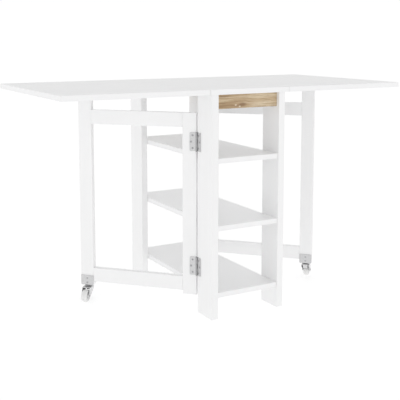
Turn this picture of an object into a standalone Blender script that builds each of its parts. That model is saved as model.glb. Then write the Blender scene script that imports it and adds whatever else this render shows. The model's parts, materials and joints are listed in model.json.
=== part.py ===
"""Gateleg table: a shelved centre unit, a fixed top strip, two drop leaves and two gates on casters.

Run it with: blender --background --python part.py

Frame: metres, +Z up. X runs along the table's length and Y across its depth, with the front at -Y.
The origin is on the floor under the middle of the table. Half a turn about Z brings the table onto
itself, so each side is modelled once, as the left one, and placed again under a turned empty.
"""

from math import acos, atan2, cos, hypot, pi, radians, sin

import bmesh
import bpy
from mathutils import Matrix, Vector

MM = 0.001
GAP = 0.3 * MM  # between pieces that touch on the real table
CUT_MARGIN = 1 * MM  # how far a cutting shape passes the surface that it cuts

# ---- Whole table
TABLE_HEIGHT = 750 * MM
TOP_LENGTH = 1274 * MM
TOP_DEPTH = 630 * MM
TOP_THICKNESS = 17 * MM
TOP_CORNER_RADIUS = 5 * MM
UNDERSIDE = TABLE_HEIGHT - TOP_THICKNESS
CENTRE_WIDTH = 300 * MM
SEAM_GAP = 1 * MM  # between the fixed strip and each leaf

# ---- Centre unit
UNIT_WIDTH = 278 * MM
UNIT_DEPTH = 614 * MM
POST_THICKNESS = 23 * MM
POST_DEPTH = 94 * MM
POST_FOOT_RADIUS = 4 * MM
SHELF_TOPS = {"upper": 529 * MM, "middle": 309 * MM, "lower": 88 * MM}
SHELF_THICKNESS = 17 * MM
SHELF_INSET = 4 * MM
APRON_HEIGHT = 47 * MM
APRON_THICKNESS = 17 * MM
APRON_RECESS = 14 * MM
INNER_HALF_WIDTH = UNIT_WIDTH / 2 - POST_THICKNESS

# ---- Gates
GATE_OPEN_ANGLE = radians(44)  # from folded flat between the two posts of its side
GATE_LENGTH = 418 * MM
GATE_THICKNESS = 20 * MM
STILE_WIDTH = 47 * MM
STILE_BOTTOM = 58 * MM
TOP_RAIL = (620 * MM, 668 * MM)
BOTTOM_RAIL = (70 * MM, 118 * MM)

# ---- Hinges: rolled butt hinges, screwed to the faces of the boards
HINGE_PROUD = 3.5 * MM  # pin axis outside the faces
HINGE_SIDE_GAP = 2 * MM  # pin axis to the edge of each gate hinge's boards
PLATE_THICKNESS = 1.6 * MM
KNUCKLE_RADIUS = HINGE_PROUD - GAP
KNUCKLE_BORE_RADIUS = KNUCKLE_RADIUS - PLATE_THICKNESS
KNUCKLE_WRAP = radians(270)
KNUCKLES = 5
KNUCKLE_ARC_STEPS = 8
PIN_RADIUS = 1.25 * MM
PIN_HEAD_RADIUS = 2.6 * MM
PIN_HEAD_HEIGHT = 1 * MM
PLATE_WIDTH = 24 * MM  # pin axis to the far edge
PLATE_LENGTH = 62 * MM
PLATE_CORNER_RADIUS = 4 * MM
SCREW_HOLE_RADIUS = 2.2 * MM
SCREW_NEAR, SCREW_FAR, SCREW_SPREAD = 13.5 * MM, 19 * MM, 21 * MM
GATE_HINGE_HEIGHTS = {"lower": 158 * MM, "upper": 574 * MM}
LEAF_HINGE_PLACES = {"front": -110 * MM, "back": 110 * MM}

# ---- Casters
WHEEL_RADIUS = 21.5 * MM
WHEEL_WIDTH = 20 * MM
HUB_RADIUS = 14 * MM
HUB_SET_BACK = 1 * MM  # the core's rim, inside the tyre's sides
HUB_RIM_WALL = 2 * MM
HUB_BOSS_WALL = 3 * MM
HUB_DISH = 3 * MM
TYRE_SHOULDER = 4 * MM
TYRE_CHAMFER = 1 * MM
CASTER_TRAIL = 26 * MM
BRACKET_THICKNESS = 1.5 * MM
BRACKET_HEIGHT = 33 * MM
BRACKET_WIDTH = 46 * MM
BRACKET_CORNER_RADIUS = 3 * MM
RACE_RADIUS = 13.5 * MM
RACE_HOLE_RADIUS = 6 * MM
RACE_CHAMFER = 1.2 * MM
RACE_SPAN = (50.9 * MM, 55.7 * MM)
CROWN_SPAN = (48 * MM, 50.2 * MM)
FORK_HALF_WIDTH = 15 * MM
FORK_THICKNESS = 2 * MM
FORK_BOSS_RADIUS = 6 * MM
FORK_CROWN_FRONT, FORK_CROWN_BACK = 13 * MM, 23 * MM  # from the swivel axis
FORK_SKIRT = 4 * MM  # the upright part of the legs, below the crown
FORK_LIP_HALF_WIDTH = 8.5 * MM  # the crown's front edge is bent down between the legs
FORK_LIP_DROP = 11 * MM
FORK_LIP_SET_BACK = 0.5 * MM
FORK_LIP_CORNER_RADIUS = 2 * MM
KINGPIN_RADIUS = 3 * MM
KINGPIN_HEAD_RADIUS = 5 * MM
KINGPIN_HEAD_HEIGHT = 1.5 * MM
AXLE_RADIUS = 2.5 * MM
AXLE_HEAD_RADIUS = 4.2 * MM
AXLE_HEAD_HEIGHT = 1.3 * MM
BORE_CLEARANCE = 0.4 * MM
ROUND_SEGMENTS = 24
SMALL_SEGMENTS = 10
CORNER_STEPS = 3

PAINT = ("white_lacquer", (0.84, 0.84, 0.83), 0.38, 0.0)
OAK = ("oak", (0.60, 0.45, 0.30), 0.50, 0.0)
STEEL = ("zinc_steel", (0.62, 0.62, 0.62), 0.34, 1.0)
DARK_STEEL = ("dark_steel", (0.20, 0.20, 0.20), 0.45, 0.8)
HUB_PLASTIC = ("grey_nylon", (0.66, 0.66, 0.65), 0.40, 0.0)
TYRE_RUBBER = ("pale_rubber", (0.80, 0.80, 0.79), 0.48, 0.0)


# ---------------------------------------------------------------- scene and materials


def clear_scene():
    for old in list(bpy.data.objects):
        bpy.data.objects.remove(old)


def material(spec):
    """The shared Principled BSDF of one finish, made the first time it is asked for."""
    name, colour, roughness, metallic = spec
    found = bpy.data.materials.get(name)
    if found:
        return found
    made = bpy.data.materials.new(name)
    made.use_nodes = True
    shader = made.node_tree.nodes["Principled BSDF"]
    shader.inputs["Base Color"].default_value = (*colour, 1.0)
    shader.inputs["Roughness"].default_value = roughness
    shader.inputs["Metallic"].default_value = metallic
    made.diffuse_color = (*colour, 1.0)
    return made


def empty(name, location=(0, 0, 0), turn=0.0, parent=None):
    """A joint axis or a group's frame, turned about Z."""
    made = bpy.data.objects.new(name, None)
    made.location = location
    made.rotation_euler = (0, 0, turn)
    made.parent = parent
    bpy.context.collection.objects.link(made)
    return made


def place(name, mesh, finish, parent=None, location=(0, 0, 0), rotation=None):
    """One sub-part: its own object, in its own frame."""
    made = bpy.data.objects.new(name, mesh)
    made.location = location
    if rotation is not None:
        made.rotation_euler = rotation.to_euler()
    made.parent = parent
    if not mesh.materials:
        mesh.materials.append(material(finish))
    bpy.context.collection.objects.link(made)
    return made


# ---------------------------------------------------------------- mesh makers


def finished_mesh(name, bm, smooth_angle=None):
    bmesh.ops.recalc_face_normals(bm, faces=bm.faces)
    mesh = bpy.data.meshes.new(name)
    bm.to_mesh(mesh)
    bm.free()
    if smooth_angle is not None:
        mesh.shade_smooth()
        mesh.set_sharp_from_angle(angle=smooth_angle)
    return mesh


def add_prism(bm, outline, low, high, plane="XY"):
    """Extrudes an outline across the third axis. XY runs along Z, YZ along X, and XZ along Y."""
    order = {
        "XY": lambda u, v, w: (u, v, w),
        "YZ": lambda u, v, w: (w, u, v),
        "XZ": lambda u, v, w: (u, w, v),
    }[plane]
    face = bm.faces.new([bm.verts.new(order(u, v, low)) for u, v in outline])
    extruded = bmesh.ops.extrude_face_region(bm, geom=[face])["geom"]
    shift = Vector(order(0, 0, high - low))
    moved = [g for g in extruded if isinstance(g, bmesh.types.BMVert)]
    bmesh.ops.translate(bm, verts=moved, vec=shift)


def prism_mesh(name, *prisms):
    bm = bmesh.new()
    for prism in prisms:
        add_prism(bm, *prism)
    return finished_mesh(name, bm)


def rectangle(u0, v0, u1, v1):
    return [(u0, v0), (u1, v0), (u1, v1), (u0, v1)]


def arc(centre, radius, start, end, steps):
    """Points along an arc, both ends included. Angles are in radians."""
    turns = [start + (end - start) * i / steps for i in range(steps + 1)]
    return [(centre[0] + radius * cos(a), centre[1] + radius * sin(a)) for a in turns]


def tangent_turn(centre, radius, point, side):
    """The angle at which a line from a point touches a circle, on the one side (+1) or the other (-1)."""
    u, v = point[0] - centre[0], point[1] - centre[1]
    return atan2(v, u) + side * acos(radius / hypot(u, v))


def rounded_rectangle(u0, v0, u1, v1, radii):
    """Anticlockwise from the low corner, each corner rounded by its own radius, or square at 0."""
    corners = ((u0, v0, 1, 1), (u1, v0, -1, 1), (u1, v1, -1, -1), (u0, v1, 1, -1))
    outline = []
    for quarter, ((u, v, in_u, in_v), r) in enumerate(zip(corners, radii)):
        if not r:
            outline.append((u, v))
            continue
        start = pi + quarter * pi / 2
        centre = (u + in_u * r, v + in_v * r)
        outline += arc(centre, r, start, start + pi / 2, CORNER_STEPS)
    return outline


def box_mesh(name, low, high):
    """A plain board between two opposite corners."""
    outline = rectangle(low[0], low[1], high[0], high[1])
    return prism_mesh(name, (outline, low[2], high[2]))


def add_turned(bm, profile, segments):
    """Turns (radius, height) points about Z. A profile that leaves the axis free is closed to a ring."""
    rings = []
    for radius, height in profile:
        turns = [2 * pi * i / segments for i in range(segments)] if radius else [0.0]
        rings.append(
            [bm.verts.new((radius * cos(a), radius * sin(a), height)) for a in turns]
        )
    pairs = list(zip(rings, rings[1:]))
    if profile[0][0] and profile[-1][0]:
        pairs.append((rings[-1], rings[0]))
    for here, there in pairs:
        for i in range(segments):
            corners = [here[i % len(here)], here[(i + 1) % len(here)]]
            corners += [there[(i + 1) % len(there)], there[i % len(there)]]
            bm.faces.new(list(dict.fromkeys(corners)))


def turned_mesh(name, profile, segments, smooth_angle=radians(35)):
    bm = bmesh.new()
    add_turned(bm, profile, segments)
    return finished_mesh(name, bm, smooth_angle)


def combined_mesh(base, cutters, smooth_angle=radians(35)):
    """The mesh that a base leaves after Boolean steps, each an (operation, mesh) pair."""
    body = bpy.data.objects.new("work_body", base)
    bpy.context.collection.objects.link(body)
    helpers = []
    for operation, mesh in cutters:
        helper = bpy.data.objects.new("work_cutter", mesh)
        helper.hide_render = True
        helper.display_type = "WIRE"
        bpy.context.collection.objects.link(helper)
        helpers.append(helper)
        step = body.modifiers.new(operation.lower(), "BOOLEAN")
        step.operation = operation
        step.object = helper
        step.solver = "EXACT"
    evaluated = body.evaluated_get(bpy.context.evaluated_depsgraph_get())
    mesh = bpy.data.meshes.new_from_object(evaluated)
    mesh.name = base.name + "_cut"
    for spent in (body, *helpers):
        bpy.data.objects.remove(spent)
    mesh.shade_smooth()
    mesh.set_sharp_from_angle(angle=smooth_angle)
    return mesh


# ---------------------------------------------------------------- centre unit and top


def make_post(name, side, front):
    """A post of the left side: a board on edge, from the floor to the top, with eased foot corners."""
    radii = (POST_FOOT_RADIUS, POST_FOOT_RADIUS, 0, 0)
    outline = rounded_rectangle(front, 0, front + POST_DEPTH, UNDERSIDE - GAP, radii)
    outer = -UNIT_WIDTH / 2
    mesh = prism_mesh(name, (outline, outer, outer + POST_THICKNESS, "YZ"))
    return place(name, mesh, PAINT, side)


def make_shelf(name, top):
    half_width = INNER_HALF_WIDTH - GAP
    half_depth = UNIT_DEPTH / 2 - SHELF_INSET
    low = (-half_width, -half_depth, top - SHELF_THICKNESS)
    return place(name, box_mesh(name, low, (half_width, half_depth, top)), PAINT)


def make_apron(name, side):
    """An oak rail under the top, set back from the edges of the posts it joins."""
    half_width = INNER_HALF_WIDTH - GAP
    face = -UNIT_DEPTH / 2 + APRON_RECESS
    low = (-half_width, face, UNDERSIDE - APRON_HEIGHT)
    high = (half_width, face + APRON_THICKNESS, UNDERSIDE - GAP)
    return place(name, box_mesh(name, low, high), OAK, side)


def make_top_centre():
    half_width = CENTRE_WIDTH / 2 - SEAM_GAP / 2
    low = (-half_width, -TOP_DEPTH / 2, UNDERSIDE)
    high = (half_width, TOP_DEPTH / 2, TABLE_HEIGHT)
    return place("top_centre", box_mesh("top_centre", low, high), PAINT)


def make_leaf(name, axis):
    """A drop leaf. Its parent is on the pins of its hinges, under the seam."""
    far = -(TOP_LENGTH - CENTRE_WIDTH) / 2
    r = TOP_CORNER_RADIUS
    ends = (-TOP_DEPTH / 2, TOP_DEPTH / 2)
    outline = rounded_rectangle(far, ends[0], -SEAM_GAP / 2, ends[1], (r, 0, 0, r))
    low = HINGE_PROUD
    mesh = prism_mesh(name, (outline, low, low + TOP_THICKNESS))
    return place(name, mesh, PAINT, axis)


# ---------------------------------------------------------------- hinges


def knuckle_spans(length, own_ends):
    """Where along the pin a plate keeps its knuckles, and the notches between them."""
    step = length / KNUCKLES
    keeps = [i for i in range(KNUCKLES) if (i % 2 == 0) == own_ends]
    notches = [i for i in range(KNUCKLES) if i not in keeps]
    # the plate with its knuckles inside the ends gives the axial play on both sides
    play = 0.0 if own_ends else GAP
    spans = []
    for i in notches:
        low = -GAP if i == 0 else i * step - play
        high = length + GAP if i == KNUCKLES - 1 else (i + 1) * step + play
        spans.append((low - length / 2, high - length / 2))
    return spans


def hinge_plate_mesh(name, length, towards, own_ends):
    """A plate rolled round its pin. The pin runs along Z, the boards' faces are at +X, and the plate
    lies along Y on the side that towards names, +1 or -1."""
    reach = towards * PLATE_WIDTH
    turn = -towards
    outer = arc((0, 0), KNUCKLE_RADIUS, 0, turn * KNUCKLE_WRAP, KNUCKLE_ARC_STEPS)
    inner = arc((0, 0), KNUCKLE_BORE_RADIUS, turn * KNUCKLE_WRAP, 0, KNUCKLE_ARC_STEPS)
    outline = [(KNUCKLE_RADIUS, reach), *outer, *inner, (KNUCKLE_BORE_RADIUS, reach)]
    rolled = prism_mesh(name, (outline, -length / 2, length / 2))

    clear = KNUCKLE_RADIUS + GAP
    bm = bmesh.new()
    for low, high in knuckle_spans(length, own_ends):
        add_prism(bm, rectangle(-clear, -clear, clear, clear), low, high)
    for y, z in ((SCREW_NEAR, SCREW_SPREAD), (SCREW_FAR, 0), (SCREW_NEAR, -SCREW_SPREAD)):
        ring = arc((towards * y, z), SCREW_HOLE_RADIUS, 0, 2 * pi, SMALL_SEGMENTS)
        add_prism(bm, ring[:-1], 0, 2 * KNUCKLE_RADIUS, "YZ")
    r = PLATE_CORNER_RADIUS
    for end in (-1, 1):
        centre = (towards * (PLATE_WIDTH - r), end * (length / 2 - r))
        start = pi / 2 - pi / 2 * towards
        rounding = arc(centre, r, start, start + end * towards * pi / 2, CORNER_STEPS)
        beyond_y = towards * (PLATE_WIDTH + CUT_MARGIN)
        beyond_z = end * (length / 2 + CUT_MARGIN)
        outline = [*rounding, (centre[0], beyond_z), (beyond_y, beyond_z)]
        outline.append((beyond_y, centre[1]))
        add_prism(bm, outline, 0, 2 * KNUCKLE_RADIUS, "YZ")
    return combined_mesh(rolled, [("DIFFERENCE", finished_mesh(name + "_cuts", bm))])


def hinge_pin_mesh(name, length):
    end, r = length / 2 + GAP, PIN_RADIUS
    head, top = PIN_HEAD_RADIUS, length / 2 + GAP + PIN_HEAD_HEIGHT
    profile = [(0, -top), (head, -top), (head, -end), (r, -end)]
    profile += [(r, end), (head, end), (head, top), (0, top)]
    return turned_mesh(name, profile, SMALL_SEGMENTS)


def hinge_meshes():
    """The three meshes that every hinge on the table shares."""
    return {
        "fixed": hinge_plate_mesh("hinge_fixed", PLATE_LENGTH, -1, True),
        "moving": hinge_plate_mesh("hinge_moving", PLATE_LENGTH, 1, False),
        "pin": hinge_pin_mesh("hinge_pin", PLATE_LENGTH),
    }


# ---------------------------------------------------------------- gates


def make_gate(side_name, axis):
    """The four boards of a gate, in its folded frame: the pins at the origin, the gate along +Y."""
    x0, x1 = HINGE_PROUD, HINGE_PROUD + GATE_THICKNESS
    near, far = HINGE_SIDE_GAP, HINGE_SIDE_GAP + GATE_LENGTH
    boards = {
        "hinge_stile": (near, near + STILE_WIDTH, STILE_BOTTOM, TOP_RAIL[1]),
        "outer_stile": (far - STILE_WIDTH, far, STILE_BOTTOM, UNDERSIDE - GAP),
        "top_rail": (near + STILE_WIDTH + GAP, far - STILE_WIDTH - GAP, *TOP_RAIL),
        "bottom_rail": (near + STILE_WIDTH + GAP, far - STILE_WIDTH - GAP, *BOTTOM_RAIL),
    }
    for part, (y0, y1, z0, z1) in boards.items():
        name = f"{side_name}_gate_{part}"
        place(name, box_mesh(name, (x0, y0, z0), (x1, y1, z1)), PAINT, axis)


# ---------------------------------------------------------------- casters


def caster_bracket_mesh():
    """A channel of sheet steel that saddles the end of the stile. The swivel axis is at the origin."""
    inner = GATE_THICKNESS / 2 + GAP
    outer = inner + BRACKET_THICKNESS
    top = STILE_BOTTOM + BRACKET_HEIGHT
    floor = STILE_BOTTOM - GAP
    under = floor - BRACKET_THICKNESS
    channel = [(-outer, top), (-outer, under), (outer, under), (outer, top)]
    channel += [(inner, top), (inner, floor), (-inner, floor), (-inner, top)]
    half = BRACKET_WIDTH / 2
    base = prism_mesh("caster_bracket", (channel, -half, half, "XZ"))

    # what shows from the side: square at the top, rounded at the bottom
    radii = (BRACKET_CORNER_RADIUS, BRACKET_CORNER_RADIUS, 0, 0)
    side = rounded_rectangle(-half, under, half, top + CUT_MARGIN, radii)
    keep = prism_mesh("bracket_side", (side, -2 * outer, 2 * outer, "YZ"))
    hole_radius = KINGPIN_RADIUS + BORE_CLEARANCE
    hole = arc((0, 0), hole_radius, 0, 2 * pi, SMALL_SEGMENTS)[:-1]
    cut = prism_mesh("bracket_hole", (hole, under - CUT_MARGIN, floor + CUT_MARGIN))
    return combined_mesh(base, [("INTERSECT", keep), ("DIFFERENCE", cut)])


def caster_race_mesh():
    """The swivel bearing's ring, between the bracket and the fork."""
    (low, high), edge = RACE_SPAN, RACE_CHAMFER
    profile = [(RACE_HOLE_RADIUS, low), (RACE_RADIUS - edge, low)]
    profile += [(RACE_RADIUS, low + edge), (RACE_RADIUS, high - edge)]
    profile += [(RACE_RADIUS - edge, high), (RACE_HOLE_RADIUS, high)]
    return turned_mesh("caster_race", profile, ROUND_SEGMENTS)


def caster_kingpin_mesh():
    """The rivet that the fork turns on. Its head is under the crown."""
    crown_low = CROWN_SPAN[0]
    head_top = crown_low - GAP
    head_low = head_top - KINGPIN_HEAD_HEIGHT
    end = STILE_BOTTOM - 2 * GAP
    profile = [(0, head_low), (KINGPIN_HEAD_RADIUS, head_low)]
    profile += [(KINGPIN_HEAD_RADIUS, head_top), (KINGPIN_RADIUS, head_top)]
    profile += [(KINGPIN_RADIUS, end), (0, end)]
    return turned_mesh("caster_kingpin", profile, SMALL_SEGMENTS)


def caster_fork_mesh():
    """A pressed fork: a bent channel, cut to its side view, with a lip down its front. It trails
    towards -X."""
    low, high = CROWN_SPAN
    outer, inner = FORK_HALF_WIDTH, FORK_HALF_WIDTH - FORK_THICKNESS
    foot = WHEEL_RADIUS - FORK_BOSS_RADIUS - CUT_MARGIN
    channel = [(-outer, foot), (-inner, foot), (-inner, low), (inner, low)]
    channel += [(inner, foot), (outer, foot), (outer, high), (-outer, high)]
    back = -(CASTER_TRAIL + FORK_BOSS_RADIUS + CUT_MARGIN)
    base = prism_mesh("caster_fork", (channel, back, FORK_CROWN_FRONT + CUT_MARGIN, "YZ"))

    axle_centre = (-CASTER_TRAIL, WHEEL_RADIUS)
    back_skirt = (-FORK_CROWN_BACK, low - FORK_SKIRT)
    front_skirt = (FORK_CROWN_FRONT, low - FORK_SKIRT)
    start = tangent_turn(axle_centre, FORK_BOSS_RADIUS, back_skirt, 1)
    end = 2 * pi + tangent_turn(axle_centre, FORK_BOSS_RADIUS, front_skirt, -1)
    boss = arc(axle_centre, FORK_BOSS_RADIUS, start, end, 3 * CORNER_STEPS)
    over = high + CUT_MARGIN
    side = [(-FORK_CROWN_BACK, over), back_skirt, *boss, front_skirt, (FORK_CROWN_FRONT, over)]
    keep = prism_mesh("fork_side", (side, -2 * outer, 2 * outer, "XZ"))

    king = arc((0, 0), KINGPIN_RADIUS + BORE_CLEARANCE, 0, 2 * pi, SMALL_SEGMENTS)[:-1]
    axle = arc(axle_centre, AXLE_RADIUS + BORE_CLEARANCE, 0, 2 * pi, SMALL_SEGMENTS)[:-1]
    holes = prism_mesh(
        "fork_holes",
        (king, low - CUT_MARGIN, over),
        (axle, -2 * outer, 2 * outer, "XZ"),
    )
    lip_front = FORK_CROWN_FRONT - FORK_LIP_SET_BACK
    radii = (FORK_LIP_CORNER_RADIUS, FORK_LIP_CORNER_RADIUS, 0, 0)
    half = FORK_LIP_HALF_WIDTH
    outline = rounded_rectangle(-half, low - FORK_LIP_DROP, half, (low + high) / 2, radii)
    lip = prism_mesh("fork_lip", (outline, lip_front - FORK_THICKNESS, lip_front, "YZ"))
    return combined_mesh(base, [("INTERSECT", keep), ("UNION", lip), ("DIFFERENCE", holes)])


def caster_axle_mesh():
    """A riveted axle through both legs of the fork, along Z here."""
    end = FORK_HALF_WIDTH + GAP
    tip = end + AXLE_HEAD_HEIGHT
    profile = [(0, -tip), (AXLE_HEAD_RADIUS, -tip), (AXLE_HEAD_RADIUS, -end)]
    profile += [(AXLE_RADIUS, -end), (AXLE_RADIUS, end), (AXLE_HEAD_RADIUS, end)]
    profile += [(AXLE_HEAD_RADIUS, tip), (0, tip)]
    return turned_mesh("caster_axle", profile, SMALL_SEGMENTS)


def caster_hub_mesh():
    """The wheel's core, dished on both sides, with its bore along Z."""
    bore, half = AXLE_RADIUS + BORE_CLEARANCE, WHEEL_WIDTH / 2
    rim = HUB_RADIUS - GAP
    dish, boss = half - HUB_DISH, bore + HUB_BOSS_WALL
    boss_end = FORK_HALF_WIDTH - FORK_THICKNESS - GAP
    rim_inner, rim_side = rim - HUB_RIM_WALL, half - HUB_SET_BACK
    profile = [(bore, boss_end), (boss, boss_end), (boss, dish), (rim_inner, dish)]
    profile += [(rim_inner, rim_side), (rim, rim_side)]
    profile += [(r, -z) for r, z in reversed(profile)]
    return turned_mesh("caster_hub", profile, ROUND_SEGMENTS)


def caster_tyre_mesh():
    """The tread: a ring with rounded shoulders."""
    half, shoulder, edge = WHEEL_WIDTH / 2, TYRE_SHOULDER, TYRE_CHAMFER
    profile = [(HUB_RADIUS, -half + edge), (HUB_RADIUS + edge, -half)]
    for centre_z, start in ((-half + shoulder, -pi / 2), (half - shoulder, 0)):
        centre = (WHEEL_RADIUS - shoulder, centre_z)
        profile += arc(centre, shoulder, start, start + pi / 2, CORNER_STEPS)
    profile += [(HUB_RADIUS + edge, half), (HUB_RADIUS, half - edge)]
    return turned_mesh("caster_tyre", profile, ROUND_SEGMENTS)


def caster_meshes():
    return {
        "bracket": caster_bracket_mesh(),
        "race": caster_race_mesh(),
        "kingpin": caster_kingpin_mesh(),
        "fork": caster_fork_mesh(),
        "axle": caster_axle_mesh(),
        "hub": caster_hub_mesh(),
        "tyre": caster_tyre_mesh(),
    }


def make_caster(side_name, gate_axis, meshes):
    """A swivel caster under the middle of the outer stile. At rest it trails square to the gate."""
    out = HINGE_SIDE_GAP + GATE_LENGTH - STILE_WIDTH / 2
    centre = (HINGE_PROUD + GATE_THICKNESS / 2, out, 0)
    swivel = empty(f"{side_name}_caster_swivel_axis", centre, parent=gate_axis)
    finishes = {"bracket": STEEL, "race": DARK_STEEL, "kingpin": STEEL, "fork": STEEL}
    for part, finish in finishes.items():
        place(f"{side_name}_caster_{part}", meshes[part], finish, swivel)
    wheel_centre = (-CASTER_TRAIL, 0, WHEEL_RADIUS)
    wheel = empty(f"{side_name}_caster_wheel_axis", wheel_centre, parent=swivel)
    lying = Matrix.Rotation(pi / 2, 3, "X")
    for part, finish in {"axle": STEEL, "hub": HUB_PLASTIC, "tyre": TYRE_RUBBER}.items():
        name = f"{side_name}_caster_{part}"
        place(name, meshes[part], finish, wheel, rotation=lying)


# ---------------------------------------------------------------- one side


def make_side(side_name, turn, post_names, hinges, casters):
    """Everything that comes in pairs: the posts, leaf, gate, hinges and caster of one side."""
    side = empty(f"{side_name}_side", turn=turn)
    for name, front in zip(post_names, (-UNIT_DEPTH / 2, UNIT_DEPTH / 2 - POST_DEPTH)):
        make_post(name, side, front)

    pin_x = -(UNIT_WIDTH / 2 + HINGE_PROUD)
    pin_y = -UNIT_DEPTH / 2 + POST_DEPTH + HINGE_SIDE_GAP
    fixed_axis = empty(f"{side_name}_gate_pins", (pin_x, pin_y, 0), parent=side)
    gate_axis = empty(f"{side_name}_gate_axis", (pin_x, pin_y, 0), GATE_OPEN_ANGLE, side)
    make_gate(side_name, gate_axis)
    for level, height in GATE_HINGE_HEIGHTS.items():
        name = f"{side_name}_gate_{level}_hinge"
        at = (0, 0, height)
        place(f"{name}_post_plate", hinges["fixed"], STEEL, fixed_axis, at)
        place(f"{name}_pin", hinges["pin"], STEEL, fixed_axis, at)
        place(f"{name}_gate_plate", hinges["moving"], STEEL, gate_axis, at)
    make_caster(side_name, gate_axis, casters)

    seam = (-CENTRE_WIDTH / 2, 0, UNDERSIDE - HINGE_PROUD)
    leaf_axis = empty(f"{side_name}_leaf_axis", seam, parent=side)
    make_leaf(f"{side_name}_leaf", leaf_axis)
    # pin along -Y, boards above, moving plate towards the leaf
    under_top = Matrix(((0, -1, 0), (0, 0, -1), (1, 0, 0)))
    for end, y in LEAF_HINGE_PLACES.items():
        name = f"{side_name}_leaf_{end}_hinge"
        for part, mesh in (("centre_plate", "fixed"), ("pin", "pin"), ("leaf_plate", "moving")):
            at = (0, y, 0)
            place(f"{name}_{part}", hinges[mesh], STEEL, leaf_axis, at, under_top)


def main():
    clear_scene()
    hinges = hinge_meshes()
    casters = caster_meshes()
    left_posts = ("front_left_post", "back_left_post")
    right_posts = ("back_right_post", "front_right_post")
    make_side("left", 0.0, left_posts, hinges, casters)
    make_side("right", pi, right_posts, hinges, casters)
    for level, top in SHELF_TOPS.items():
        make_shelf(f"{level}_shelf", top)
    make_apron("front_apron", empty("front_apron_frame"))
    make_apron("back_apron", empty("back_apron_frame", turn=pi))
    make_top_centre()


main()
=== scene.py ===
"""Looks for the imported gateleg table: materials, fine hardware, floor, light and camera.

Everything is in metres in the CAD frame: Z up, the table's length along X, its front at -Y. The
right side is the left one after half a turn about Z, so hinge screws are placed by one turn a side.
"""

import json
from math import cos, pi, radians, sin

import bmesh
import bpy
from mathutils import Matrix, Vector

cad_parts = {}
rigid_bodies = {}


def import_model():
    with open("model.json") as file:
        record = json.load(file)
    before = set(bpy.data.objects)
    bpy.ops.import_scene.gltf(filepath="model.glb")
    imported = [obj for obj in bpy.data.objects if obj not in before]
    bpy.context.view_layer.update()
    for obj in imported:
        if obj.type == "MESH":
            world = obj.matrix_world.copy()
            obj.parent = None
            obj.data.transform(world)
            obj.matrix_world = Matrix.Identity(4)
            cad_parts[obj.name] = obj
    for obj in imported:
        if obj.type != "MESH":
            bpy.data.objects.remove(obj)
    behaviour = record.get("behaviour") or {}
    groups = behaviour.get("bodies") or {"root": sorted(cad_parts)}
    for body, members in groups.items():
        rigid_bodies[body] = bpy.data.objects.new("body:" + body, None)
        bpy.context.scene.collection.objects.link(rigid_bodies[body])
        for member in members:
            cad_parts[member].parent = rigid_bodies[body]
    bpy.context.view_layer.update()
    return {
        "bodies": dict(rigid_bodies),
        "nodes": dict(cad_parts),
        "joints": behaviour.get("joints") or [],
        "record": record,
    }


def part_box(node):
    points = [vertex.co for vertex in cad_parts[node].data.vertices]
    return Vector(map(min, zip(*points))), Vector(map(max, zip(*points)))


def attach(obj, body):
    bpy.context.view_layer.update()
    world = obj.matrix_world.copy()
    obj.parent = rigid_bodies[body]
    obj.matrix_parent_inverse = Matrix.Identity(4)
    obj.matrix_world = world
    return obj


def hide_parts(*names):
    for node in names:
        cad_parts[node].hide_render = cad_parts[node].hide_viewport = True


MM = 0.001
SIDES = {"left": 0.0, "right": pi}  # each side's turn about Z

# ---- Camera, with its shift in widths of the picture
LENS_MM = 69.87
CAMERA_PLACE = (-1.3682, -2.3899, 0.9225)
CAMERA_YAW = radians(29.47)  # from +Y towards +X
CAMERA_DIP = radians(7.06)  # below level
CAMERA_SHIFT = (0.0053, -0.175)

# ---- Edges that are eased on the CAD boards and steel
BOARD_EASE = 0.6 * MM
TOP_EASE = 0.3 * MM
APRON_EASE = 0.5 * MM
STEEL_EASE = 0.3 * MM
EASE_STEPS = 3
WELD_DISTANCE = 0.01 * MM
FLAT_FACE_WEIGHT = 100  # of large faces over small ones, from 1 to 100
EASED_ANGLE = radians(50)  # the least angle of an edge that is eased
SHARP_ANGLE = radians(35)  # and of one that is shaded as sharp

# ---- Hinges, as the CAD has them
PIN_PROUD = 3.5 * MM
PLATE_THICKNESS = 1.6 * MM
# how far each screw of a plate is from the pin, and along it
PLATE_SCREWS = ((13.5 * MM, 21 * MM), (19 * MM, 0.0), (13.5 * MM, -21 * MM))
GATE_HINGE_HEIGHTS = {"lower": 158 * MM, "upper": 574 * MM}
LEAF_HINGE_PLACES = {"front": -110 * MM, "back": 110 * MM}

# ---- Screws
SCREW_HEAD_RADIUS = 3.5 * MM
SCREW_DOME = 0.7 * MM
SCREW_RIM = 0.25 * MM
CROSS_LENGTH, CROSS_WIDTH, CROSS_DEPTH = 4.4 * MM, 1.1 * MM, 1.3 * MM
SHANK_RADIUS = 1.9 * MM
DOME_STEPS = 8  # from the rim of a screw's or rivet's head to its middle
FIRST_SLOT, SLOT_STEP = 0.5, 1.1  # how far each screw of a plate is turned, in radians

# ---- Casters, as the CAD has them
WHEEL_RADIUS, WHEEL_WIDTH = 21.5 * MM, 20 * MM
HUB_RADIUS, HUB_BOSS_WALL = 14 * MM, 3 * MM
AXLE_RADIUS = 2.5 * MM
RIVET_RADIUS, RIVET_DOME = 4.2 * MM, 1.3 * MM
FORK_HALF_WIDTH = 15 * MM
FORK_THICKNESS = 2 * MM
CROWN_UNDERSIDE = 48 * MM
KINGPIN_RADIUS = 3 * MM
RACE_RADIUS = 13.5 * MM
KINGPIN_CLEAR_RADIUS = 6 * MM
GATE_THICKNESS = 20 * MM
BRACKET_THICKNESS = 1.5 * MM

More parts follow.
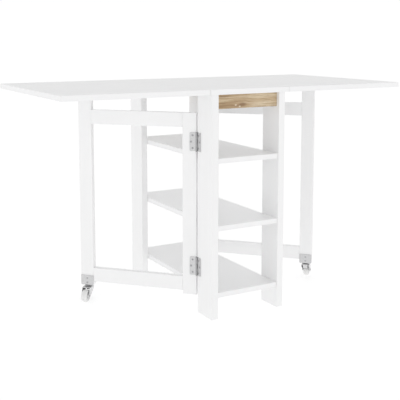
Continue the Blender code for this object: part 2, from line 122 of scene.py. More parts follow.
# ---- Casters, in finer detail
TYRE_SHOULDER, TYRE_CROWN = 5 * MM, 0.5 * MM
TYRE_SHOULDER_LEAN = 0.1  # the angle that a shoulder keeps from the running face, in radians
MOULD_LINE_HALF, MOULD_LINE_DEPTH = 0.5 * MM, 0.25 * MM
HUB_RIM_WALL, HUB_DISH = 1.8 * MM, 2.6 * MM
RIB_PAIRS, RIB_HALF_WIDTH, RIB_SET_BACK = 3, 0.8 * MM, 1.4 * MM
BRACKET_SCREWS = ((65 * MM, 1.7), (80 * MM, 2.0))  # each one's height and turn, in radians
BRACKET_SCREW_SCALE = 0.85
RING_HEIGHT = 2.6 * MM
CUP_RADIUS = 10 * MM
NUT_RADIUS, NUT_HEIGHT, NUT_CHAMFER = 7.8 * MM, 5 * MM, 0.6 * MM
LOWER_CUP_RADIUS, LOWER_CUP_DEPTH = 11 * MM, 4 * MM
LIP_BACK = 11.5 * MM  # from the swivel's axis to just behind the lip's front face
SHADED_HEIGHTS = (32 * MM, 38 * MM)  # where the painted shade inside the fork fades in
SLACK = 0.3 * MM
ROUND_STEPS = 96
SMALL_STEPS = 32
ARC_STEPS = 8

# ---- Finishes. A noise is its scale, or one for each axis, its detail, and its roughness if not 0.5
MOST_OF_NOISE = (0.3, 0.7)  # the range that nearly all of a noise is in

PAINT_CLOUD, PAINT_PEEL, PAINT_SHEEN = (5.0, 3.0), (420.0, 2.0, 0.4), (38.0, 4.0, 0.6)
PAINT_TONES = ((0.3, (0.916, 0.916, 0.918)), (0.7, (0.933, 0.933, 0.935)))
PAINT_ROUGHNESS = (0.34, 0.44)
PEEL_DEPTH = 0.012 * MM

OAK_WANDER, OAK_DRIFT = ((5.0, 8.0, 16.0), 2.0), 8 * MM
OAK_BANDS, BAND_SHARE = ((3.4, 30.0, 130.0), 4.0, 0.62), 0.32
OAK_TONE, TONE_SHARE = ((4.5, 10.0, 30.0), 3.0, 0.55), 0.33
OAK_STREAKS, STREAK_SHARE = ((9.0, 60.0, 480.0), 3.0, 0.65), 0.35
OAK_COLOURS = ((0.39, (0.27, 0.17, 0.085)), (0.455, (0.46, 0.325, 0.19)))
OAK_COLOURS += ((0.50, (0.60, 0.46, 0.295)), (0.57, (0.74, 0.625, 0.455)))
OAK_FIBRE = ((16.0, 300.0, 900.0), 3.0, 0.6)
FIBRE_COLOURS = ((0.3, (0.84, 0.82, 0.78)), (0.7, (1.07, 1.07, 1.07)))
OAK_PORES, PORE_EDGES = ((45.0, 900.0, 1500.0), 1.0), (0.60, 0.68)
PORE_COLOUR, PORE_SHARE = (0.27, 0.17, 0.09, 1.0), 0.5
OAK_ROUGHNESS = (0.62, 0.50)  # between the fibres, and on them
FIBRE_DEPTH, FIBRE_SHARE = 0.05 * MM, 0.5

HEART_COLOUR, HEART_SHARE = (0.62, 0.50, 0.36, 1.0), 0.62
HEART_LENGTH, HEART_HEIGHTS = 0.62, (0.1, 0.75)  # shares of the board that it fades over

KNOT_AT = (0.42, 0.24)  # across and up the oak board
KNOT_REACH = (48 * MM, 120 * MM, 20 * MM)
KNOT_PULL, KNOT_BOW = 1.6, -0.75  # how many reaches out it bends the grain, and how much
CORE_COLOUR, CORE_EDGES, CORE_SHARE = (0.22, 0.125, 0.06, 1.0), (0.12, 0.42), 0.7
HALO_COLOUR, HALO_EDGES, HALO_SHARE = (0.40, 0.255, 0.14, 1.0), (0.3, 1.5), 0.35
FLECKS_AT = ((0.31, 0.22), (0.375, 0.12))
FLECK_REACH = (4.2 * MM, 200 * MM, 2.4 * MM)
FLECK_COLOUR, FLECK_EDGES, FLECK_SHARE = (0.83, 0.73, 0.58, 1.0), (0.5, 1.2), 0.8

STEEL_CLOUD = (260.0, 4.0, 0.6, 0.4)  # with a distortion too
STEEL_MARKS, MARK_DEPTH = ((700.0, 700.0, 4500.0), 2.0), 0.006 * MM
# painted shade on the hinge knuckles round each pin: its colour and how much of it
KNUCKLE_SHADE_COLOUR, KNUCKLE_SHADE_SHARE = (0.42, 0.42, 0.425, 1.0), 0.8
KNUCKLE_SHADE_REACH = (3.2 * MM, 4.3 * MM)  # from a hinge pin: where the painted knuckle shade starts to fade, and ends
# painted shade inside the top of a caster's fork
FORK_SHADE_COLOUR = (0.10, 0.10, 0.102, 1.0)
MOULDED_CLOUD, MOULDED_TEXTURE = (90.0, 3.0), (1600.0, 2.0, 0.6)

# each one's light and dark, its range of roughness, and the depth of a mould's texture
ZINC = ((0.68, 0.68, 0.68), (0.60, 0.60, 0.61), (0.34, 0.44))
FORK_ZINC = ((0.74, 0.74, 0.74), (0.67, 0.67, 0.68), (0.34, 0.44))
SCREW_STEEL = ((0.44, 0.44, 0.45), (0.36, 0.36, 0.37), (0.30, 0.40))
# dark steel for the kingpins, and painted shade on the bearing cups in the gap under each bracket
DARK_STEEL_AND_SHADE = ((0.09, 0.09, 0.092), (0.06, 0.06, 0.062), (0.40, 0.52))
NYLON = ((0.80, 0.80, 0.80), (0.77, 0.77, 0.77), (0.34, 0.44), 0.01 * MM)
RUBBER = ((0.84, 0.84, 0.835), (0.81, 0.81, 0.805), (0.44, 0.56), 0.02 * MM)

# ---- Studio
SKY_HORIZON, SKY_ZENITH = 1.02, 0.71
WHITE = (1.0, 1.0, 1.0, 1.0)
FRONT_LIGHT_WATTS = 2.5
FRONT_LIGHT_PLACE, FRONT_LIGHT_TARGET = (-1.8, -4.6, 2.2), (0, 0, 0.3)
FRONT_LIGHT_SIZE = (3.2, 2.0)
FLOOR_PAPER, FLOOR_ROUGHNESS = (0.62, 0.62, 0.62, 1.0), 0.9
FLOOR_GLOW = 0.52
FLOOR_HALF_WIDTH = 60.0


# ---------------------------------------------------------------- meshes


def arc(centre, radius, start, end, steps):
    """Points along an arc, both ends included, from one angle to another."""
    turns = [start + (end - start) * i / steps for i in range(steps + 1)]
    return [(centre[0] + radius * cos(a), centre[1] + radius * sin(a)) for a in turns]


def finished(name, bm):
    """A mesh with its faces outwards, smooth but for its sharp edges."""
    bmesh.ops.recalc_face_normals(bm, faces=bm.faces)
    mesh = bpy.data.meshes.new(name)
    bm.to_mesh(mesh)
    bm.free()
    mesh.shade_smooth()
    mesh.set_sharp_from_angle(angle=SHARP_ANGLE)
    return mesh


def dome(radius, base, rise):
    """A dome's (radius, height) points from its rim to the axis."""
    turns = [i * pi / 2 / DOME_STEPS for i in range(DOME_STEPS)]
    return [*((radius * cos(a), base + rise * sin(a)) for a in turns), (0, base + rise)]


def lathe(name, profile, steps=ROUND_STEPS):
    """Turns (radius, height) points about Z. A profile that keeps off the axis closes to a ring."""
    bm = bmesh.new()
    rings = []
    for radius, height in profile:
        turns = [2 * pi * i / steps for i in range(steps)] if radius else [0.0]
        rings.append([bm.verts.new((radius * cos(a), radius * sin(a), height)) for a in turns])
    pairs = list(zip(rings, rings[1:]))
    if profile[0][0] and profile[-1][0]:
        pairs.append((rings[-1], rings[0]))
    # a ring on the axis is one point, so that the faces there have three corners
    for here, there in pairs:
        for i in range(steps):
            corners = [here[i % len(here)], here[(i + 1) % len(here)]]
            corners += [there[(i + 1) % len(there)], there[i % len(there)]]
            bm.faces.new(list(dict.fromkeys(corners)))
    return finished(name, bm)


def prism(name, outline, low, high):
    """An outline in XY, extruded along Z from low to high."""
    bm = bmesh.new()
    face = bm.faces.new([bm.verts.new((u, v, low)) for u, v in outline])
    extruded = bmesh.ops.extrude_face_region(bm, geom=[face])["geom"]
    moved = [part for part in extruded if isinstance(part, bmesh.types.BMVert)]
    bmesh.ops.translate(bm, verts=moved, vec=(0, 0, high - low))
    return finished(name, bm)


def combined(base, *steps):
    """The mesh left by Boolean steps on a base, each an (operation, mesh) pair."""
    body = bpy.data.objects.new("work_body", base)
    bpy.context.collection.objects.link(body)
    helpers = []
    for operation, mesh in steps:
        helper = bpy.data.objects.new("work_cutter", mesh)
        bpy.context.collection.objects.link(helper)
        helpers.append(helper)
        step = body.modifiers.new(operation.lower(), "BOOLEAN")
        step.operation = operation
        step.object = helper
        step.solver = "EXACT"
    evaluated = body.evaluated_get(bpy.context.evaluated_depsgraph_get())
    mesh = bpy.data.meshes.new_from_object(evaluated)
    for spent in (body, *helpers):
        bpy.data.objects.remove(spent)
    mesh.shade_smooth()
    mesh.set_sharp_from_angle(angle=SHARP_ANGLE)
    return mesh


def joined(name, mesh, places):
    """One mesh with a copy of another at each place, given as a matrix."""
    bm = bmesh.new()
    for at in places:
        copy = mesh.copy()
        copy.transform(at)
        bm.from_mesh(copy)
        bpy.data.meshes.remove(copy)
    return finished(name, bm)


def piece(name, mesh, finish, body, at=None):
    """A shown piece, riding on a body."""
    made = bpy.data.objects.new(name, mesh)
    made.data.materials.clear()
    made.data.materials.append(finish)
    bpy.context.collection.objects.link(made)
    if at is not None:
        made.matrix_world = at
    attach(made, body)
    return made


# ---------------------------------------------------------------- materials


class Shader:
    """A material's nodes, with short calls to add and join them."""

    def __init__(self, name):
        self.material = bpy.data.materials.new(name)
        self.material.use_nodes = True
        self.tree = self.material.node_tree
        self.surface = self.tree.nodes["Principled BSDF"]

    def feed(self, socket, value):
        """Links an input to another node's output, or sets it to a plain value."""
        if isinstance(value, bpy.types.NodeSocket):
            self.tree.links.new(value, socket)
        else:
            socket.default_value = value

    def add(self, kind, inputs, output=0, **settings):
        """A new node with its inputs fed and its settings set. Gives one of its outputs."""
        node = self.tree.nodes.new("ShaderNode" + kind)
        for setting, value in settings.items():
            setattr(node, setting, value)
        for socket, value in inputs.items():
            self.feed(node.inputs[socket], value)
        return node.outputs[output]

    def place(self):
        """Where a point is on its own object, in metres."""
        return self.add("TexCoord", {}, "Object")

    def maths(self, operation, first, second=0.0):
        return self.add("Math", {0: first, 1: second}, operation=operation)

    def vector(self, operation, first, second, output=0):
        return self.add("VectorMath", {0: first, 1: second}, output, operation=operation)

    def noise(self, place, scale, detail, roughness=0.5, distortion=0.0):
        """Noise between 0 and 1. A scale of three numbers stretches it along the axes."""
        if isinstance(scale, tuple):
            place, scale = self.vector("MULTIPLY", place, scale), 1.0
        inputs = {"Vector": place, "Scale": scale, "Detail": detail}
        inputs.update({"Roughness": roughness, "Distortion": distortion})
        return self.add("TexNoise", inputs)

    def between(self, value, low, high, to_low=0.0, to_high=1.0, smooth=False):
        """Maps a value's range to another, held at its ends."""
        inputs = {"Value": value, "From Min": low, "From Max": high}
        inputs.update({"To Min": to_low, "To Max": to_high})
        kind = "SMOOTHSTEP" if smooth else "LINEAR"
        return self.add("MapRange", inputs, interpolation_type=kind)

    def ramp(self, value, stops):
        """A colour for each value, from (position, colour) stops."""
        node = self.tree.nodes.new("ShaderNodeValToRGB")
        self.feed(node.inputs[0], value)
        elements = node.color_ramp.elements
        while len(elements) < len(stops):
            elements.new(0.5)
        for element, (position, colour) in zip(elements, stops):
            element.position = position
            element.color = (*colour, 1.0)
        return node.outputs[0]

    def mix(self, amount, first, second, blend="MIX"):
        node = self.tree.nodes.new("ShaderNodeMix")
        node.data_type = "RGBA"
        node.blend_type = blend
        # a colour mix takes its amount and its two colours at these sockets
        for socket, value in zip((0, 6, 7), (amount, first, second)):
            self.feed(node.inputs[socket], value)
        return node.outputs[2]

    def bump(self, height, distance):
        inputs = {"Height": height, "Distance": distance, "Strength": 1.0}
        self.feed(self.surface.inputs["Normal"], self.add("Bump", inputs))

    def set(self, **inputs):
        """Sets or links inputs of the surface. Base_Color stands for Base Color."""
        for name, value in inputs.items():
            self.feed(self.surface.inputs[name.replace("_", " ")], value)


def white_lacquer():
    """Satin lacquer, rolled on: a faint orange peel, and a sheen that varies a little."""
    paint = Shader("white_lacquer")
    place = paint.place()
    colour = paint.ramp(paint.noise(place, *PAINT_CLOUD), PAINT_TONES)
    peel = paint.noise(place, *PAINT_PEEL)
    sheen = paint.noise(place, *PAINT_SHEEN)
    rough = paint.between(sheen, *MOST_OF_NOISE, *PAINT_ROUGHNESS)
    paint.set(Base_Color=colour, Roughness=rough)
    paint.bump(peel, PEEL_DEPTH)
    return paint.material


def oak_laminate(low, high):
    """Matt oak on a board between two corners, with its grain along X: growth bands, fine fibre,
    open pores, and a knot low down, left of the middle."""
    length, height = high.x - low.x, high.z - low.z

    def on_board(across, up):
        return (low.x + across * length, low.y, low.z + up * height)

    wood = Shader("oak_laminate")
    place = wood.place()
    from_knot = wood.vector("SUBTRACT", place, on_board(*KNOT_AT))
    reach = wood.vector("DIVIDE", from_knot, KNOT_REACH)
    distance = wood.vector("LENGTH", reach, (0, 0, 0), "Value")
    pull = wood.between(distance, 0.0, KNOT_PULL, 1.0, 0.0, smooth=True)

    # the grain bows round the knot and wanders a little along the board
    rise = wood.add("SeparateXYZ", {0: from_knot}, "Z")
    wander = wood.noise(place, *OAK_WANDER)
    bow = wood.maths("MULTIPLY", wood.maths("MULTIPLY", pull, rise), KNOT_BOW)
    drift = wood.maths("MULTIPLY", wander, OAK_DRIFT)
    shift = wood.add("CombineXYZ", {"Z": wood.maths("ADD", bow, drift)})
    grain = wood.vector("ADD", place, shift)

    figure = wood.maths("MULTIPLY", wood.noise(grain, *OAK_BANDS), BAND_SHARE)
    tone = wood.maths("MULTIPLY", wood.noise(grain, *OAK_TONE), TONE_SHARE)
    streaks = wood.maths("MULTIPLY", wood.noise(grain, *OAK_STREAKS), STREAK_SHARE)
    figure = wood.maths("ADD", wood.maths("ADD", figure, tone), streaks)
    colour = wood.ramp(figure, OAK_COLOURS)
    fibre = wood.noise(grain, *OAK_FIBRE)
    colour = wood.mix(1.0, colour, wood.ramp(fibre, FIBRE_COLOURS), "MULTIPLY")
    pore = wood.between(wood.noise(grain, *OAK_PORES), *PORE_EDGES)
    colour = wood.mix(wood.maths("MULTIPLY", pore, PORE_SHARE), colour, PORE_COLOUR)

    # heartwood: a browner corner, low and to the left
    across = wood.add("SeparateXYZ", {0: place}, "X")
    right = low.x + HEART_LENGTH * length
    leftwards = wood.between(across, low.x, right, 1.0, 0.0, smooth=True)
    up = wood.add("SeparateXYZ", {0: grain}, "Z")
    bottom, top = (low.z + share * height for share in HEART_HEIGHTS)
    downwards = wood.between(up, bottom, top, 1.0, 0.0, smooth=True)
    heart = wood.maths("MULTIPLY", wood.maths("MULTIPLY", leftwards, downwards), HEART_SHARE)
    colour = wood.mix(heart, colour, HEART_COLOUR, "MULTIPLY")

    halo = wood.between(distance, *HALO_EDGES, HALO_SHARE, 0.0, smooth=True)
    colour = wood.mix(halo, colour, HALO_COLOUR)
    core = wood.between(distance, *CORE_EDGES, CORE_SHARE, 0.0, smooth=True)
    colour = wood.mix(core, colour, CORE_COLOUR)
    for fleck_at in FLECKS_AT:
        away = wood.vector("SUBTRACT", place, on_board(*fleck_at))
        away = wood.vector("DIVIDE", away, FLECK_REACH)
        away = wood.vector("LENGTH", away, (0, 0, 0), "Value")
        fleck = wood.between(away, *FLECK_EDGES, FLECK_SHARE, 0.0, smooth=True)
        colour = wood.mix(fleck, colour, FLECK_COLOUR)

    wood.set(Base_Color=colour, Roughness=wood.between(fibre, *MOST_OF_NOISE, *OAK_ROUGHNESS))
    relief = wood.maths("SUBTRACT", wood.maths("MULTIPLY", fibre, FIBRE_SHARE), pore)
    wood.bump(relief, FIBRE_DEPTH)
    return wood.material


def pin_distance(shader, place, pins):
    """How far a point is from the nearest hinge pin, given (point, axis) pairs along Y or Z."""
    nearest = 1.0
    for point, axis in pins:
        across = tuple(1.0 - abs(part) for part in axis)
        away = shader.vector("MULTIPLY", shader.vector("SUBTRACT", place, point), across)
        distance = shader.vector("LENGTH", away, (0, 0, 0), "Value")
        nearest = shader.maths("MINIMUM", distance, nearest)
    return nearest


def fork_shade_mask(shader, place, casters):
    """Where painted shade goes: 1 on the faces inside the top of a fork, from (swivel point, wheel
    axis, front) triples.
    """
    inside = 0.0
    for centre, axle, forward in casters:
        away = shader.vector("SUBTRACT", place, centre)
        sideways = shader.maths("ABSOLUTE", shader.vector("DOT_PRODUCT", away, axle, "Value"))
        ahead = shader.vector("DOT_PRODUCT", away, forward, "Value")
        height = shader.add("SeparateXYZ", {0: place}, "Z")
        between_legs = shader.maths("LESS_THAN", sideways, FORK_HALF_WIDTH - FORK_THICKNESS + SLACK)
        behind_lip = shader.maths("LESS_THAN", ahead, LIP_BACK)
        under_crown = shader.maths("LESS_THAN", height, CROWN_UNDERSIDE + SLACK)
        upwards = shader.between(height, *SHADED_HEIGHTS, smooth=True)
        found = shader.maths("MULTIPLY", between_legs, behind_lip)
        found = shader.maths("MULTIPLY", found, shader.maths("MULTIPLY", under_crown, upwards))
        inside = shader.maths("MAXIMUM", found, inside)
    return inside


def plated_steel(name, light, dark, roughness, pins=(), casters=()):
    """Pressed sheet steel with a satin coat: cloudy, with fine rolling marks. It has painted shade
    where it is rolled round a hinge pin, and darker painted shade inside a caster's fork."""
    steel = Shader(name)
    place = steel.place()
    cloud = steel.noise(place, *STEEL_CLOUD)
    colour = steel.ramp(cloud, [(0.35, dark), (0.65, light)])
    # painted shade on the steel rolled round each hinge pin
    if pins:
        reach = pin_distance(steel, place, pins)
        knuckle_shade = steel.between(reach, *KNUCKLE_SHADE_REACH, KNUCKLE_SHADE_SHARE, 0.0, smooth=True)
        colour = steel.mix(knuckle_shade, colour, KNUCKLE_SHADE_COLOUR)
    # painted shade inside the top of each caster's fork
    if casters:
        colour = steel.mix(fork_shade_mask(steel, place, casters), colour, FORK_SHADE_COLOUR)
    rough = steel.between(cloud, *MOST_OF_NOISE, *roughness)
    steel.set(Base_Color=colour, Metallic=1.0, Roughness=rough)
    steel.bump(steel.noise(place, *STEEL_MARKS), MARK_DEPTH)
    return steel.material


def moulded(name, light, dark, roughness, depth):
    """Moulded plastic or rubber with a fine texture from the mould."""
    plastic = Shader(name)
    place = plastic.place()
    cloud = plastic.noise(place, *MOULDED_CLOUD)
    texture = plastic.noise(place, *MOULDED_TEXTURE)
    rough = plastic.between(texture, *MOST_OF_NOISE, *roughness)
    plastic.set(Base_Color=plastic.ramp(cloud, [(0.35, dark), (0.65, light)]), Roughness=rough)
    plastic.bump(texture, depth)
    return plastic.material


def studio_floor():
    """A pale floor with a little glow of its own, so that the shadows stay soft."""
    paper = Shader("studio_floor")
    paper.set(Base_Color=FLOOR_PAPER, Roughness=FLOOR_ROUGHNESS, Specular_IOR_Level=0.0)
    paper.set(Emission_Color=WHITE, Emission_Strength=FLOOR_GLOW)
    return paper.material


def make_finishes(joints):
    """Every finish by its name. The hinge pins and the casters are where the joints say."""
    hinges = [joint for name, joint in joints.items() if name.endswith(("swing", "lift"))]
    pins = [(tuple(joint["pos_m"]), tuple(joint["axis"])) for joint in hinges]
    casters = []
    for side in SIDES:
        centre = Vector(joints[f"{side}_caster_swivel"]["pos_m"])
        axle = Vector(joints[f"{side}_wheel_roll"]["axis"]).normalized()
        trail = Vector(joints[f"{side}_wheel_roll"]["pos_m"]) - centre
        forward = Vector((-trail.x, -trail.y, 0)).normalized()
        casters.append((tuple(centre), tuple(axle), tuple(forward)))
    return {
        "lacquer": white_lacquer(),
        "oak": oak_laminate(*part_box("front_apron")),
        # the zinc and the fork steel carry painted shade round the hinge pins and inside the forks
        "zinc_steel": plated_steel("zinc_steel", *ZINC, pins=pins),
        "fork_steel": plated_steel("fork_steel", *FORK_ZINC, casters=casters),
        "screw_steel": plated_steel("screw_steel", *SCREW_STEEL),
        # dark steel for the kingpins, and painted shade in the bearing gaps
        "dark_steel": plated_steel("dark_steel", *DARK_STEEL_AND_SHADE),
        "hub": moulded("grey_nylon", *NYLON),
        "tyre": moulded("pale_rubber", *RUBBER),
    }


# ---------------------------------------------------------------- CAD nodes


def slot_of(node):
    """The finish that a CAD node takes, from its name."""
    # the race takes the dark steel that also paints shade in the bearing gap
    endings = {"apron": "oak", "race": "dark_steel", "hub": "hub", "tyre": "tyre"}
    endings.update({"plate": "zinc_steel", "pin": "zinc_steel", "bracket": "zinc_steel"})
    endings.update({"fork": "fork_steel", "axle": "zinc_steel"})
    return next((slot for ending, slot in endings.items() if node.endswith(ending)), "lacquer")


def ease_edges(obj, width):
    """Rounds a CAD node's sharp edges with modifiers, so that its own mesh stays as packed."""
    weld = obj.modifiers.new("weld", "WELD")
    weld.merge_threshold = WELD_DISTANCE
    ease = obj.modifiers.new("ease", "BEVEL")
    ease.width = width
    ease.segments = EASE_STEPS
    ease.limit_method = "ANGLE"
    ease.angle_limit = EASED_ANGLE
    ease.harden_normals = False
    shade = obj.modifiers.new("shade", "WEIGHTED_NORMAL")
    shade.weight = FLAT_FACE_WEIGHT


def finish_nodes(nodes, finishes):
    """Gives every CAD node its finish, and eases the edges of the boards and the pressed steel."""
    eases = {"lacquer": BOARD_EASE, "oak": APRON_EASE}
    eases.update({"zinc_steel": STEEL_EASE, "fork_steel": STEEL_EASE})
    tops = ("top_centre", "left_leaf", "right_leaf")
    for name, obj in nodes.items():
        slot = slot_of(name)
        for material_slot in obj.material_slots:
            material_slot.material = finishes[slot]
        if slot in eases:
            ease_edges(obj, TOP_EASE if name in tops else eases[slot])


# ---------------------------------------------------------------- screws


def cross_outline(half_length, half_width):
    """The outline of a cross, anticlockwise."""
    corner = [(half_length, half_width), (half_width, half_width), (half_width, half_length)]
    outline = []
    for quarter in range(4):
        across, up = round(cos(quarter * pi / 2)), round(sin(quarter * pi / 2))
        outline += [(across * u - up * v, up * u + across * v) for u, v in corner]
    return outline


def screw_mesh():
    """A cross-head screw standing on the plane z = 0, with its head towards +Z."""
    profile = [(0, -PLATE_THICKNESS), (SHANK_RADIUS, -PLATE_THICKNESS), (SHANK_RADIUS, 0)]
    profile += [(SCREW_HEAD_RADIUS, 0), *dome(SCREW_HEAD_RADIUS, SCREW_RIM, SCREW_DOME)]
    head = lathe("screw_head", profile, SMALL_STEPS)
    top = SCREW_RIM + SCREW_DOME
    cross = cross_outline(CROSS_LENGTH / 2, CROSS_WIDTH / 2)
    return combined(head, ("DIFFERENCE", prism("screw_cross", cross, top - CROSS_DEPTH, top + MM)))


def axes_matrix(origin, x, y, z):
    """A place whose X, Y and Z axes point along three unit vectors."""
    turned = Matrix((x, y, z)).transposed().to_4x4()
    return Matrix.Translation(origin) @ turned


def screw_places(pin, along, across, outward):
    """Where a hinge plate's three screws stand: out of its outer face."""
    face = PLATE_THICKNESS - PIN_PROUD
    places = []
    for index, (away, spread) in enumerate(PLATE_SCREWS):
        at = pin + away * across + spread * along + face * outward
        stand = axes_matrix(at, across, outward.cross(across), outward)
        places.append(stand @ Matrix.Rotation(FIRST_SLOT + SLOT_STEP * index, 4, "Z"))
    return places


def make_hinge_screws(finishes, joints, screw):
    """The screws of every hinge plate, one piece for each plate."""
    z = Vector((0, 0, 1))

    def screws(plate, body, *frame):
        mesh = joined(f"{plate}_screws", screw, screw_places(*frame))
        piece(f"{plate}_screws", mesh, finishes["screw_steel"], body)

    for side, turn in SIDES.items():
        side_turn = Matrix.Rotation(turn, 3, "Z")
        outward = side_turn @ Vector((-1, 0, 0))
        along = side_turn @ Vector((0, 1, 0))
        # a gate's lower limit folds it flat, so it is pictured open by that much
        swing = joints[f"{side}_gate_swing"]
        opened = Matrix.Rotation(-radians(swing["range_deg"][0]), 3, "Z")
        for level, height in GATE_HINGE_HEIGHTS.items():
            hinge = f"{side}_gate_{level}_hinge"
            pin = Vector((*swing["pos_m"][:2], height))
            screws(f"{hinge}_post_plate", "centre_unit", pin, z, -along, outward)
            gate_frame = (pin, z, opened @ along, opened @ outward)
            screws(f"{hinge}_gate_plate", f"{side}_gate", *gate_frame)
        lift = joints[f"{side}_leaf_lift"]
        for end, y in LEAF_HINGE_PLACES.items():
            hinge = f"{side}_leaf_{end}_hinge"
            pin = Vector(lift["pos_m"]) + y * along
            screws(f"{hinge}_centre_plate", "centre_unit", pin, along, -outward, -z)
            screws(f"{hinge}_leaf_plate", f"{side}_leaf", pin, along, outward, -z)


# ---------------------------------------------------------------- casters


def tyre_mesh():
    """The tread: rounded shoulders, a slightly crowned running face and a fine moulding line."""
    half, shoulder, lean = WHEEL_WIDTH / 2, TYRE_SHOULDER, TYRE_SHOULDER_LEAN
    bend = WHEEL_RADIUS - TYRE_CROWN - shoulder
    profile = [(HUB_RADIUS, -half + MM), (HUB_RADIUS + MM, -half)]
    profile += arc((bend, -half + shoulder), shoulder, -pi / 2, -lean, ARC_STEPS)
    profile += [(WHEEL_RADIUS, -MOULD_LINE_HALF), (WHEEL_RADIUS - MOULD_LINE_DEPTH, 0)]
    profile += [(WHEEL_RADIUS, MOULD_LINE_HALF)]
    profile += arc((bend, half - shoulder), shoulder, lean, pi / 2, ARC_STEPS)
    profile += [(HUB_RADIUS + MM, half), (HUB_RADIUS, half - MM)]
    return lathe("caster_tyre", profile)


def hub_mesh():
    """The wheel's core: a dished web with six ribs between its rim and its boss."""
    bore, half = AXLE_RADIUS + SLACK, WHEEL_WIDTH / 2
    rim, boss = HUB_RADIUS - SLACK / 3, bore + HUB_BOSS_WALL
    rim_inner, web = rim - HUB_RIM_WALL, half - HUB_DISH
    boss_end = FORK_HALF_WIDTH - FORK_THICKNESS - SLACK
    profile = [(bore, boss_end), (boss - MM / 2, boss_end), (boss, boss_end - MM / 2)]
    profile += [(boss, web), (rim_inner, web), (rim_inner, half - MM), (rim, half - MM)]
    profile += [(r, -z) for r, z in reversed(profile)]
    core = lathe("caster_hub", profile)
    reach, rib_half = rim_inner + MM / 2, half - RIB_SET_BACK
    outline = [(-reach, -RIB_HALF_WIDTH), (reach, -RIB_HALF_WIDTH)]
    outline += [(u, -v) for u, v in reversed(outline)]
    ribs = []
    for i in range(RIB_PAIRS):
        rib = prism("hub_rib", outline, -rib_half, rib_half)
        rib.transform(Matrix.Rotation(i * pi / RIB_PAIRS, 4, "Z"))
        ribs.append(("UNION", rib))
    bore_mesh = lathe("hub_bore", [(0, -half), (bore, -half), (bore, half), (0, half)], SMALL_STEPS)
    return combined(core, *ribs, ("DIFFERENCE", bore_mesh))


def axle_mesh():
    """The axle with a domed rivet head at each end."""
    end = FORK_HALF_WIDTH + SLACK
    upper = [(AXLE_RADIUS, end), *dome(RIVET_RADIUS, end, RIVET_DOME)]
    lower = [(r, -h) for r, h in reversed(upper)]
    return lathe("caster_axle", lower + upper, SMALL_STEPS)


def kingpin_mesh(end):
    """The pin that the fork turns on, with a bearing cup and a nut under the crown."""
    top = CROWN_UNDERSIDE - SLACK
    nut_top = top - LOWER_CUP_DEPTH
    nut_low = nut_top - NUT_HEIGHT
    tip = nut_low - MM
    profile = [(0, tip), (KINGPIN_RADIUS - NUT_CHAMFER, tip), (KINGPIN_RADIUS, tip + NUT_CHAMFER)]
    profile += [(KINGPIN_RADIUS, nut_top), (LOWER_CUP_RADIUS - MM, nut_top)]
    profile += [(LOWER_CUP_RADIUS, nut_top + MM), (LOWER_CUP_RADIUS, top)]
    profile += [(KINGPIN_RADIUS, top), (KINGPIN_RADIUS, end), (0, end)]
    pin = lathe("kingpin", profile, SMALL_STEPS)

    hexagon = arc((0, 0), NUT_RADIUS, 0, 2 * pi, 6)[:-1]
    nut_over = nut_top + SLACK
    turned = [(0, nut_low), (NUT_RADIUS - 2 * NUT_CHAMFER, nut_low)]
    turned += [(NUT_RADIUS, nut_low + NUT_CHAMFER), (NUT_RADIUS, nut_over), (0, nut_over)]
    nut = combined(
        prism("nut", hexagon, nut_low - MM, nut_over + MM),
        ("INTERSECT", lathe("nut_turned", turned, SMALL_STEPS)),
    )
    return combined(pin, ("UNION", nut))


def race_ring_mesh(low, high):
    """The plated lower ring of the swivel bearing, with a rolled edge."""
    edge, middle = (high - low) / 2, (high + low) / 2
    profile = [(KINGPIN_CLEAR_RADIUS, high), (KINGPIN_CLEAR_RADIUS, low)]
    profile += arc((RACE_RADIUS - edge, middle), edge, -pi / 2, pi / 2, ARC_STEPS)
    return lathe("race_ring", profile)


def race_core_mesh(low, high):
    """The bearing cup that shows between the ring and the bracket, dark as painted shade for the gap
    under the bracket.
    """
    inner, outer = KINGPIN_CLEAR_RADIUS, CUP_RADIUS
    return lathe("race_core", [(inner, low), (outer, low), (outer, high), (inner, high)])


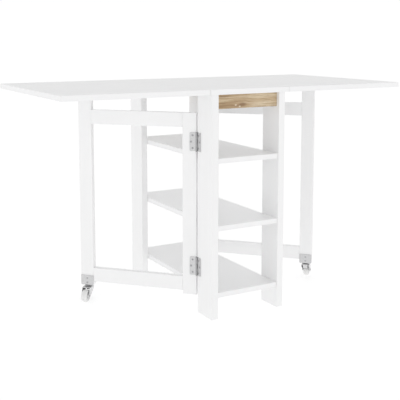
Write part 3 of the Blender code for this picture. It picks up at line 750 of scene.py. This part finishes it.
def make_caster(side, finishes, joints, screw):
    """Finer wheel, axle, swivel ring and bracket screws for one side."""
    roll, swivel = joints[f"{side}_wheel_roll"], joints[f"{side}_caster_swivel"]
    name, wheel, gate = f"{side}_caster", f"{side}_wheel", f"{side}_gate"
    axis = Vector(roll["axis"]).normalized()
    lying = axis.to_track_quat("Z", "Y").to_matrix().to_4x4()
    hub_place = Matrix.Translation(roll["pos_m"]) @ lying
    tyre = piece(f"{name}_tread", tyre_mesh(), finishes["tyre"], wheel, hub_place)
    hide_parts(f"{name}_tyre")
    hub = piece(f"{name}_wheel_core", hub_mesh(), finishes["hub"], wheel, hub_place)
    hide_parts(f"{name}_hub")
    steel = finishes["zinc_steel"]
    axle = piece(f"{name}_rivet", axle_mesh(), steel, name, hub_place)
    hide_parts(f"{name}_axle")

    centre = Vector((*swivel["pos_m"][:2], 0))
    swivel_place = Matrix.Translation(centre)
    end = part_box(f"{name}_kingpin")[1].z
    # dark steel for the kingpin, and painted shade on the bearing cup
    dark = finishes["dark_steel"]
    kingpin = piece(f"{name}_king_bolt", kingpin_mesh(end), dark, name, swivel_place)
    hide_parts(f"{name}_kingpin")
    low, high = (corner.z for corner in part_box(f"{name}_race"))
    core = race_core_mesh(low + RING_HEIGHT, high)
    cup = piece(f"{name}_bearing_cup", core, dark, gate, swivel_place)
    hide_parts(f"{name}_race")
    ring = race_ring_mesh(low, low + RING_HEIGHT)
    piece(f"{name}_bearing_ring", ring, steel, gate, swivel_place)

    # at rest the axle runs along the gate, so the bracket's cheeks face square to it
    z = Vector((0, 0, 1))
    outward = axis.cross(z).normalized()
    face = GATE_THICKNESS / 2 + SLACK + BRACKET_THICKNESS
    places = []
    for facing in (1, -1):
        for height, turn in BRACKET_SCREWS:
            at = centre + facing * face * outward + height * z
            stand = axes_matrix(at, z.cross(facing * outward), z, facing * outward)
            turned = Matrix.Rotation(turn, 4, "Z")
            places.append(stand @ Matrix.Scale(BRACKET_SCREW_SCALE, 4) @ turned)
    mesh = joined(f"{name}_bracket_screws", screw, places)
    piece(f"{name}_bracket_screws", mesh, finishes["screw_steel"], gate)


# ---------------------------------------------------------------- studio


def make_camera():
    """The camera: in front of the table, about 30 degrees to its left."""
    data = bpy.data.cameras.new("camera")
    data.lens = LENS_MM
    data.shift_x, data.shift_y = CAMERA_SHIFT
    camera = bpy.data.objects.new("camera", data)
    camera.location = CAMERA_PLACE
    camera.rotation_euler = (pi / 2 - CAMERA_DIP, 0, -CAMERA_YAW)
    bpy.context.collection.objects.link(camera)
    bpy.context.scene.camera = camera


def make_floor():
    """A plain floor, wider than any view of the table."""
    half = FLOOR_HALF_WIDTH
    corners = ((-half, -half), (half, -half), (half, half), (-half, half))
    bm = bmesh.new()
    bm.faces.new([bm.verts.new((x, y, 0)) for x, y in corners])
    floor = bpy.data.objects.new("floor", finished("floor", bm))
    floor.data.materials.append(studio_floor())
    bpy.context.collection.objects.link(floor)


def soft_light(name, place, target, size, power):
    """A broad rectangular light at a place, aimed at a target."""
    data = bpy.data.lights.new(name, "AREA")
    data.shape = "RECTANGLE"
    data.size, data.size_y = size
    data.energy = power
    light = bpy.data.objects.new(name, data)
    light.location = place
    aim = Vector(target) - Vector(place)
    light.rotation_euler = aim.to_track_quat("-Z", "Y").to_euler()
    bpy.context.collection.objects.link(light)


def make_light():
    """A white surround, brightest near the horizon, and a broad soft light from the front left."""
    world = bpy.data.worlds.new("surround")
    world.use_nodes = True
    nodes, links = world.node_tree.nodes, world.node_tree.links
    direction = nodes.new("ShaderNodeTexCoord")
    height = nodes.new("ShaderNodeSeparateXYZ")
    fall = nodes.new("ShaderNodeMapRange")
    fall.inputs["To Min"].default_value = SKY_HORIZON
    fall.inputs["To Max"].default_value = SKY_ZENITH
    links.new(direction.outputs["Generated"], height.inputs[0])
    links.new(height.outputs["Z"], fall.inputs["Value"])
    links.new(fall.outputs[0], nodes["Background"].inputs["Strength"])
    nodes["Background"].inputs["Color"].default_value = WHITE
    bpy.context.scene.world = world
    aim = (FRONT_LIGHT_PLACE, FRONT_LIGHT_TARGET)
    soft_light("front_light", *aim, FRONT_LIGHT_SIZE, FRONT_LIGHT_WATTS)
    bpy.context.scene.view_settings.view_transform = "Standard"


# ---------------------------------------------------------------- scene


def main():
    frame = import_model()
    joints = {joint["name"]: joint for joint in frame["joints"]}
    make_camera()
    finishes = make_finishes(joints)
    finish_nodes(frame["nodes"], finishes)
    screw = screw_mesh()
    make_hinge_screws(finishes, joints, screw)
    for side in SIDES:
        make_caster(side, finishes, joints, screw)
    make_floor()
    make_light()


main()
